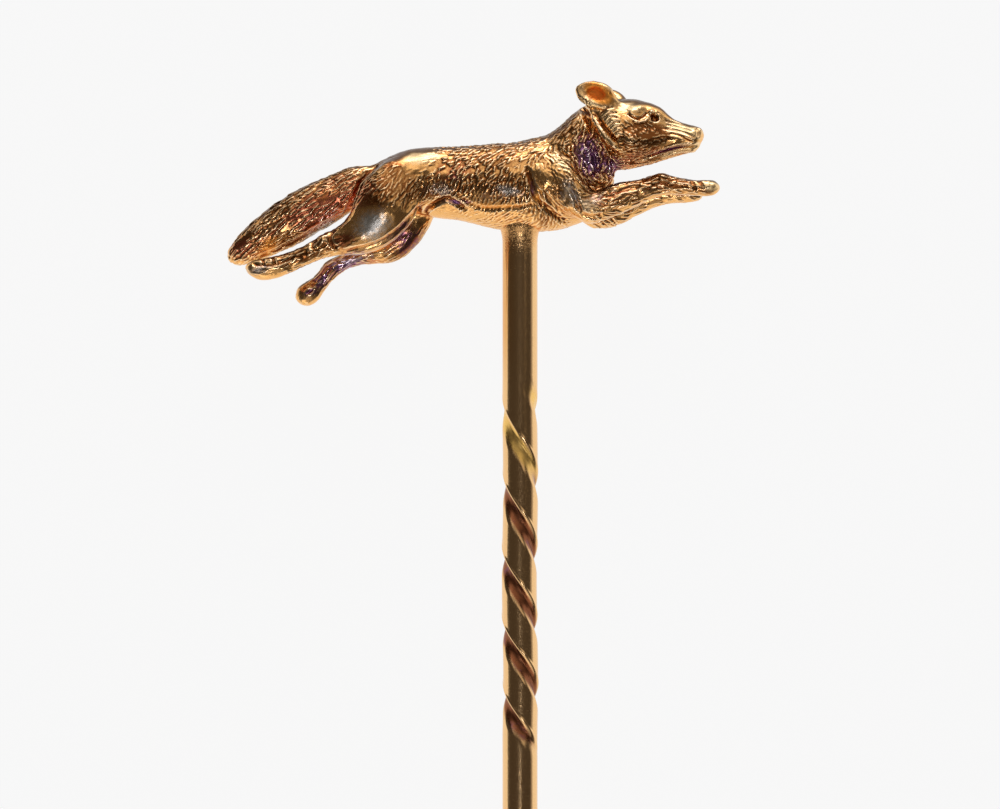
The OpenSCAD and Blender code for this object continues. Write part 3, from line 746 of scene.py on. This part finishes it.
class Tree:
    """A node tree that is written as expressions."""

    def __init__(self, nodes):
        self.nodes = nodes

    def add(self, kind, settings, inputs, output=0):
        """Adds a node: its settings first, then the values or links of its sockets."""
        node = self.nodes.nodes.new(kind)
        for name, setting in settings.items():
            setattr(node, name, setting)
        for name, given in inputs.items():
            if isinstance(given, Value):
                self.nodes.links.new(given.socket, node.inputs[name])
            else:
                node.inputs[name].default_value = given
        return Value(self, node.outputs[output]) if node.outputs else node

    def number(self, operation, *terms):
        return self.add("ShaderNodeMath", {"operation": operation}, dict(enumerate(terms)))

    def mix(self, share, first, second):
        """Two colours, mixed. The node has sockets for other kinds of values between these."""
        first, second = (given if isinstance(given, Value) else (*given, 1) for given in (first, second))
        return self.add("ShaderNodeMix", {"data_type": "RGBA"}, {0: share, 6: first, 7: second}, output=2)

    def attribute(self, name):
        return self.add("ShaderNodeAttribute", {"attribute_name": name}, {}, output="Fac")

    def millimetres(self):
        """Object coordinates in millimetres."""
        metres = self.add("ShaderNodeTexCoord", {}, {}, output="Object")
        return self.add("ShaderNodeVectorMath", {"operation": "SCALE"}, {0: metres, "Scale": 1 / MM})

    def noise(self, position, scale, detail, roughness):
        inputs = {"Vector": position, "Scale": scale, "Detail": detail, "Roughness": roughness}
        return self.add("ShaderNodeTexNoise", {}, inputs)

    def parts(self, vector):
        return [self.add("ShaderNodeSeparateXYZ", {}, {0: vector}, output=k) for k in range(3)]

    def vector(self, x, y, z):
        return self.add("ShaderNodeCombineXYZ", {}, {0: x, 1: y, 2: z})


# The cast metal's colours over the soot in its hollows: how worn it is where each begins and is full; then
# the painted shade along the upper edges, and the painted pinkish highlight on the worn crests of the violet
# places
WEAR = ((0.02, 0.28, (0.50, 0.19, 0.055)), (0.18, 0.5, (0.95, 0.51, 0.175)), (0.6, 1.0, (0.98, 0.66, 0.36)))
SOOT = (0.22, 0.058, 0.013)
UPPER_SHADE_COLOUR = (0.08, 0.032, 0.011)
ROSE_HIGHLIGHT = (1.0, 0.78, 0.84)

# Heat colours, two of them partly painted highlights, each painted over those before it, and those that are
# wiped off the crests
HEAT_COLOURS = {
    "umber": (0.25, 0.085, 0.022),
    "violet": (0.25, 0.11, 0.24),
    "copper": (0.64, 0.18, 0.085),
    "grey_tarnish_and_glint": (0.54, 0.49, 0.42),
    "polish_and_highlight": (0.98, 0.68, 0.34),
    "ember": (1.0, 0.40, 0.07),
}
WIPED_OFF = ("umber", "violet", "copper")

# The wire: its gold, tarnish in its grooves, the rubbed first groove, the top flushed by flame, the solder
PALE_GOLD = (0.93, 0.58, 0.27)
GROOVE_BROWN = (0.30, 0.105, 0.045)
GROOVE_VIOLET = (0.24, 0.10, 0.13)
RUBBED_GOLD = (0.96, 0.60, 0.17)
FLUSHED_GOLD = (0.82, 0.40, 0.12)
SOLDER_GOLD = (0.98, 0.54, 0.21)

# Where these begin and are full, in the laid wire's millimetres: up the wire, and across it for the flush
THIN_TARNISH = (14.5, 16.6)
RUBBED_GROOVE = (15.2, 16.4)
FLUSHED_TOP = (18.5, 21.5)
FLUSHED_SIDE = (1.75, 1.1)

# The height of the metals' fine relief, in metres
BUMP_DEPTH = 0.00002


def new_material(name):
    """An empty material and its tree."""
    material = bpy.data.materials.new(name)
    material.use_nodes = True
    material.node_tree.nodes.clear()
    return material, Tree(material.node_tree)


def finish_metal(tree, colour, roughness, height, strength):
    """Joins a metal's colour, roughness and relief into its surface."""
    bump = tree.add("ShaderNodeBump", {}, {"Strength": strength, "Distance": BUMP_DEPTH, "Height": height})
    inputs = {"Base Color": colour, "Metallic": 1.0, "Roughness": roughness, "Normal": bump}
    metal = tree.add("ShaderNodeBsdfPrincipled", {}, inputs)
    tree.add("ShaderNodeOutputMaterial", {}, {"Surface": metal})


def cast_gold():
    """The fox's metal: worn bright on the crests, dark and coppery between them, with heat colours, painted
    highlights and painted shade along the back.
    """
    material, tree = new_material("cast_gold")
    position = tree.millimetres()
    crest = tree.attribute("crest")
    patches = tree.noise(position, 2.2, 3.0, 0.6)
    specks = tree.noise(position, 11.0, 2.0, 0.6)
    worn = crest + (specks - 0.5) * 0.35
    colour = SOOT
    for low, high, gold in WEAR:
        colour = tree.mix(worn.ramp(low, high), colour, gold)
    for name, heat in HEAT_COLOURS.items():
        share = tree.attribute(name)
        cover = (share * 1.5 + (patches - 0.5) * 1.2 + (specks - 0.5) * 1.4 - 0.3).clamped()
        if name in WIPED_OFF:
            cover = cover * (1 - worn.ramp(0.6, 0.9) * 0.85)
        colour = tree.mix(cover * share.ramp(0.0, 0.2), colour, heat)
    # Painted shade along the upper edges, weaker on worn crests
    upper_shade = tree.attribute("upper_shade") * (0.95 - worn.ramp(0.6, 1.0) * 0.35)
    colour = tree.mix(upper_shade, colour, UPPER_SHADE_COLOUR)
    # Painted pinkish highlight on the worn crests of the violet places
    highlight_tips = worn.ramp(0.5, 0.9) * tree.attribute("violet").ramp(0.65, 0.95)
    colour = tree.mix(highlight_tips, colour, ROSE_HIGHLIGHT)
    satin = tree.attribute("grey_tarnish_and_glint") * 0.14 + tree.attribute("polish_and_highlight") * 0.12 + tree.attribute("ember") * 0.22
    roughness = (0.17 + (1 - crest) * 0.14 + (specks - 0.5) * 0.1 + satin).clamped()
    finish_metal(tree, colour, roughness, specks, 0.12)
    return material


def wire_gold():
    """The wire's metal: paler and pitted, brown in all grooves but the first, and flushed at the top."""
    material, tree = new_material("wire_gold")
    position = tree.millimetres()
    groove = tree.attribute("groove")
    solder = tree.attribute("solder")
    pits = tree.noise(position, 18.0, 3.0, 0.75)
    patches = tree.noise(position, 1.6, 3.0, 0.6)
    x, y, z = tree.parts(position)
    scratches = tree.noise(tree.vector(x * 6, y * 0.5, z * 6), 3.0, 2.0, 0.5)
    inside = groove.ramp(0.0, 0.3)
    rubbed = y.ramp(*RUBBED_GROOVE)
    tarnish = (groove * (2.3 - y.ramp(*THIN_TARNISH) * 1.75) + (patches - 0.5) * 0.5).clamped()
    colour = tree.mix(tarnish * inside, PALE_GOLD, GROOVE_BROWN)
    colour = tree.mix((tarnish * (patches - 0.57) * 6).clamped(), colour, GROOVE_VIOLET)
    colour = tree.mix(inside * rubbed, colour, RUBBED_GOLD)
    flushed = x.ramp(*FLUSHED_SIDE) * y.ramp(*FLUSHED_TOP) * (0.55 + patches * 0.5)
    colour = tree.mix(flushed.clamped(), colour, FLUSHED_GOLD)
    colour = tree.mix(solder, colour, SOLDER_GOLD)
    roughness = 0.17 + (pits - 0.5) * 0.5 + solder * 0.1 + groove * (0.2 + rubbed * 0.15)
    relief = (pits - 0.5).at_least(0) * (0.10 + solder * 1.5 + groove * 0.3) + scratches * 0.02
    finish_metal(tree, colour, roughness.clamped(), relief, 0.9)
    return material


def geometry_tree(name, inputs):
    """A geometry tree with named inputs, each given as its kind and its value."""
    group = bpy.data.node_groups.new(name, "GeometryNodeTree")
    for label, (kind, value) in inputs.items():
        socket = group.interface.new_socket(label, in_out="INPUT", socket_type="NodeSocket" + kind)
        if value is not None:
            socket.default_value = value
    group.interface.new_socket("Geometry", in_out="OUTPUT", socket_type="NodeSocketGeometry")
    tree = Tree(group)
    entry = group.nodes.new("NodeGroupInput")
    return tree, {label: Value(tree, entry.outputs[label]) for label in inputs}


def stored(tree, geometry, name, kind, value):
    """Stores a value on each point of a tree's geometry under a name."""
    return tree.add("GeometryNodeStoreNamedAttribute", {"data_type": kind, "domain": "POINT"},
                    {"Geometry": geometry, "Name": name, "Value": value})


def given_out(tree, geometry, material):
    """Ends a geometry tree with real geometry that has its material, and returns the whole group."""
    real = tree.add("GeometryNodeRealizeInstances", {}, {"Geometry": geometry})
    painted = tree.add("GeometryNodeSetMaterial", {}, {"Geometry": real, "Material": material})
    tree.add("NodeGroupOutput", {}, {"Geometry": painted})
    return tree.nodes


def run_tree(mesh, group):
    """The mesh that a geometry tree makes from another."""
    thing = show("worked", mesh)
    thing.modifiers.new("tree", "NODES").node_group = group
    return evaluated(thing)


def scatter_tree(material):
    """Sets a point for each lock of the coat, evenly spaced over a surface, with the way it faces."""
    tree, given = geometry_tree("scatter", {
        "Geometry": ("Geometry", None), "Lock spacing": ("Float", LOCK_SPACING),
        "Locks on a square millimetre": ("Float", LOCK_DENSITY), "Seed": ("Int", LOCK_SEED)})
    thinning = tree.add("GeometryNodeInputNamedAttribute", {"data_type": "FLOAT"}, {"Name": "thinning"})
    scatter = tree.add(
        "GeometryNodeDistributePointsOnFaces", {"distribute_method": "POISSON"},
        {"Mesh": given["Geometry"], "Distance Min": given["Lock spacing"], "Density Factor": thinning,
         "Density Max": given["Locks on a square millimetre"], "Seed": given["Seed"]})
    normal = Value(tree, scatter.socket.node.outputs["Normal"])
    marked = stored(tree, scatter, "facing", "FLOAT_VECTOR", normal)
    return given_out(tree, tree.add("GeometryNodePointsToVertices", {}, {"Points": marked}), material)


def wire_tree(material):
    """Bends a flat grid into the wire: taper, round point, solder flare and the two grooves of its grip."""
    numbers = {
        "Radius": WIRE_R, "Length": WIRE_LEN, "Taper length": TAPER_LEN, "Point radius": POINT_R,
        "Grip start": GRIP_TOP, "Grip length": GRIP_LEN, "First lead": LEAD_TOP, "Last lead": LEAD_END,
        "Groove start": math.radians(GROOVE_START), "Groove depth": GROOVE_DEPTH,
    }
    tree, given = geometry_tree("wire", {name: ("Float", number) for name, number in numbers.items()})
    radius, length = given["Radius"], given["Length"]
    taper_len, point_r = given["Taper length"], given["Point radius"]
    grip_start, grip_len = given["Grip start"], given["Grip length"]

    grid = tree.add("GeometryNodeMeshGrid", {},
                    {"Size X": 1.0, "Size Y": 1.0, "Vertices X": WIRE_AROUND, "Vertices Y": WIRE_ROWS})
    x, y, _ = tree.parts(tree.add("GeometryNodeInputPosition", {}, {}))
    turn = x + 0.5
    run = y + 0.5
    # How far down each row lies: shares of the rows and their stretches, from the end inside the casting
    stretches = (
        (0.04, WIRE_SUNK), (0.09, grip_start - GRIP_MARGIN), (0.62, grip_len + 2 * GRIP_MARGIN),
        (0.12, length - taper_len - grip_start - grip_len - GRIP_MARGIN),
        (0.1, taper_len - point_r), (0.03, point_r))
    down, start = -WIRE_SUNK, 0
    for share, stretch in stretches:
        down = down + ((run - start) / share).clamped() * stretch
        start += share
    on_grip = (down - grip_start).at_least(0).at_most(grip_len)
    turns = (on_grip / given["First lead"]
             + on_grip * on_grip / (grip_len * 2) * (1 / given["Last lead"] - 1 / given["First lead"]))
    end = on_grip.at_most(grip_len - on_grip) / GROOVE_FADE
    fade = end.ramp(0, 1) * (RUBBED_DEPTH + on_grip.ramp(*RUBBED_END) * (1 - RUBBED_DEPTH))
    # Across a groove, in degrees: a gentle slope below, a steep wall and a thin proud edge above
    across = (turn * 2 - (turn * 2).math("FLOOR")) * 180 - 90
    gentle = ((across + 42) / 50).clamped()
    steep = 1 - ((across - 18) / 20).clamped()
    bowl = (gentle * gentle * (3 - gentle * 2)).at_most(steep * steep * (3 - steep * 2))
    lip = (1 - ((across - 41) / 7).math("ABSOLUTE")).clamped()
    depth = fade * (bowl * given["Groove depth"] * 1.15 - lip * LIP_HEIGHT)
    taper = ((down - (length - taper_len)) / taper_len).clamped()
    tip = ((down - (length - point_r)) / point_r).clamped()
    flare = (1 - ((down + 0.15) / 0.55).clamped()) ** 2 * FLARE
    cone = radius - (radius - point_r) * taper
    cap = (run / 0.004).clamped()
    r = (cone - depth + flare * (1 - taper)) * (1 - tip * tip).math("SQRT") * cap
    angle = (turn + turns) * (2 * math.pi) + given["Groove start"] + math.pi / 2
    sway = fade * ((down * 0.85).math("SINE") * SWAY)
    bent = tree.vector(r * angle.math("SINE") + sway, -down, r * angle.math("COSINE"))
    grid = stored(tree, grid, "groove", "FLOAT", bowl * fade)
    grid = stored(tree, grid, "solder", "FLOAT", (1 - down / SOLDER_RUN).clamped())
    wire = tree.add("GeometryNodeSetPosition", {}, {"Geometry": grid, "Position": bent})
    closed = tree.add("GeometryNodeMergeByDistance", {}, {"Geometry": wire, "Distance": 0.0005})
    return given_out(tree, tree.add("GeometryNodeSetShadeSmooth", {}, {"Geometry": closed}), material)


def piece(name, mesh):
    """A finished piece of the pin."""
    thing = show(name, mesh)
    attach(thing, "root")
    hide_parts("stick_pin")


# The studio: half the floor's side in metres and its glow, brightness at the horizon and overhead, the band
# between them, and the dark flags that stand around: where, and how dark
FLOOR_HALF = 0.6
FLOOR_GLOW = 0.91
HORIZON = 0.9
OVERHEAD = 0.06
HORIZON_BAND = (0.06, 0.34)
FLAGS = ((-0.71, 0.71, 0.93), (0.1, 0.99, 0.7), (0.97, 0.26, 0.5), (-0.97, -0.26, 0.75))

# Lamps: tilt from the camera's axis, bearing, width and height in degrees, brightness and colour, then their
# distance in metres and the upright place at which they aim
LAMP_DISTANCE = 0.4
LAMPS = {
    "key_light": (80, 82, 42, 26, 4.6, (0.84, 0.86, 1.0)),
    "upper_light": (44, 99, 36, 30, 0.9, (1.0, 0.98, 0.96)),
    "near_light": (18, 274, 10, 8, 11.0, (0.84, 0.88, 1.0)),
    "grip_screen": (46, 36, 34, 34, 0.5, (1.0, 0.93, 0.84)),
    "top_screen": (38, 90, 50, 44, 0.22, (1.0, 0.95, 0.88)),
    "foot_screen": (40, 266, 50, 36, 0.3, (1.0, 0.96, 0.92)),
    "foot_light": (68, 252, 54, 20, 1.2, (1.0, 0.97, 0.93)),
}
LAMP_AIM = (0.0, 1.5, 0.0)

# The photograph: its width and a millimetre in pixels, the place in its middle, and the camera's distance
PICTURE_WIDE = 1000
PIXELS_IN_MM = 27.0
PICTURE_MIDDLE = (-0.741, -6.389, 0.0)
CAMERA_DISTANCE = 190.0


def floor():
    """A plain pale floor that glows as a sheet over a light table does."""
    mesh = bpy.data.meshes.new("floor")
    corners = [(x * FLOOR_HALF, y * FLOOR_HALF, 0) for x, y in ((-1, -1), (1, -1), (1, 1), (-1, 1))]
    mesh.from_pydata(corners, [], [(0, 1, 2, 3)])
    material, tree = new_material("floor")
    inputs = {"Base Color": (0.06, 0.06, 0.06, 1), "Roughness": 0.9, "Specular IOR Level": 0.0,
              "Emission Color": (1.0, 1.0, 1.0, 1), "Emission Strength": FLOOR_GLOW}
    surface = tree.add("ShaderNodeBsdfPrincipled", {}, inputs)
    tree.add("ShaderNodeOutputMaterial", {}, {"Surface": surface})
    mesh.materials.append(material)
    thing = show("floor", mesh)


def sky():
    """Dark overhead, where the camera stands, and bright towards the horizon but for the dark flags."""
    world = bpy.data.worlds.new("studio")
    bpy.context.scene.world = world
    world.use_nodes = True
    world.node_tree.nodes.clear()
    tree = Tree(world.node_tree)
    x, y, height = tree.parts(tree.add("ShaderNodeTexCoord", {}, {}, output="Generated"))
    level = (x * x + y * y + 0.0001).math("SQRT")
    bright = HORIZON
    for flag_x, flag_y, depth in FLAGS:
        bright = bright * (1 - ((x * flag_x + y * flag_y) / level).ramp(0.45, 0.97) * depth)
    up = height.ramp(*HORIZON_BAND)
    glow = bright * (1 - up) + up * OVERHEAD
    colour = tree.mix(up, (1.0, 0.99, 0.97), (1.0, 0.87, 0.76))
    background = tree.add("ShaderNodeBackground", {}, {"Color": colour, "Strength": glow})
    tree.add("ShaderNodeOutputWorld", {}, {"Surface": background})


def softbox(name, tilt, bearing, wide, high, brightness, colour):
    """A square lamp that looks at the fox. Its tilt from the camera's axis, its bearing round that axis and
    its width and height as seen from the fox are in degrees."""
    tilt, bearing = math.radians(tilt), math.radians(bearing)
    way = (math.sin(tilt) * math.cos(bearing), math.sin(tilt) * math.sin(bearing), math.cos(tilt))
    way = Vector(LAID @ np.array(way))
    light = bpy.data.lights.new(name, "AREA")
    light.shape = "RECTANGLE"
    light.size = 2 * LAMP_DISTANCE * math.tan(math.radians(wide / 2))
    light.size_y = 2 * LAMP_DISTANCE * math.tan(math.radians(high / 2))
    light.energy = brightness * math.pi * light.size * light.size_y
    light.color = colour
    lamp = show(name, light)
    lamp.location = Vector(laid_down(np.array([LAMP_AIM]))[0]) + way * LAMP_DISTANCE
    lamp.rotation_euler = way.to_track_quat("Z", "Y").to_euler()


def camera():
    """Straight over the pin, so that its plane is seen square on, with the wire's foot out of the picture."""
    lens = bpy.data.cameras.new("camera")
    lens.sensor_width = 36.0
    lens.lens = lens.sensor_width * CAMERA_DISTANCE / (PICTURE_WIDE / PIXELS_IN_MM)
    lens.clip_start = 0.01
    eye = show("camera", lens)
    turn = np.eye(4)
    turn[:3, :3] = LAID
    turn[:3, 3] = (LAID @ (np.array(PICTURE_MIDDLE) + (0, 0, CAMERA_DISTANCE)) + BELLY) * MM
    eye.matrix_world = Matrix(turn.tolist())
    bpy.context.scene.camera = eye


fox_gold = cast_gold()
skin, layers = casting(fox_gold)
for name, inside in quarters(skin).items():
    quarter = cut_out(name, skin, layers, inside)
    quarter.materials.append(fox_gold)
    piece(name, quarter)
wire_mesh = run_tree(bpy.data.meshes.new("blank"), wire_tree(wire_gold()))
place(wire_mesh, laid_down(read(wire_mesh)))
piece("wire", wire_mesh)
floor()
sky()
for name, lamp in LAMPS.items():
    softbox(name, *lamp)
camera()
bpy.context.scene.view_settings.view_transform = "Standard"
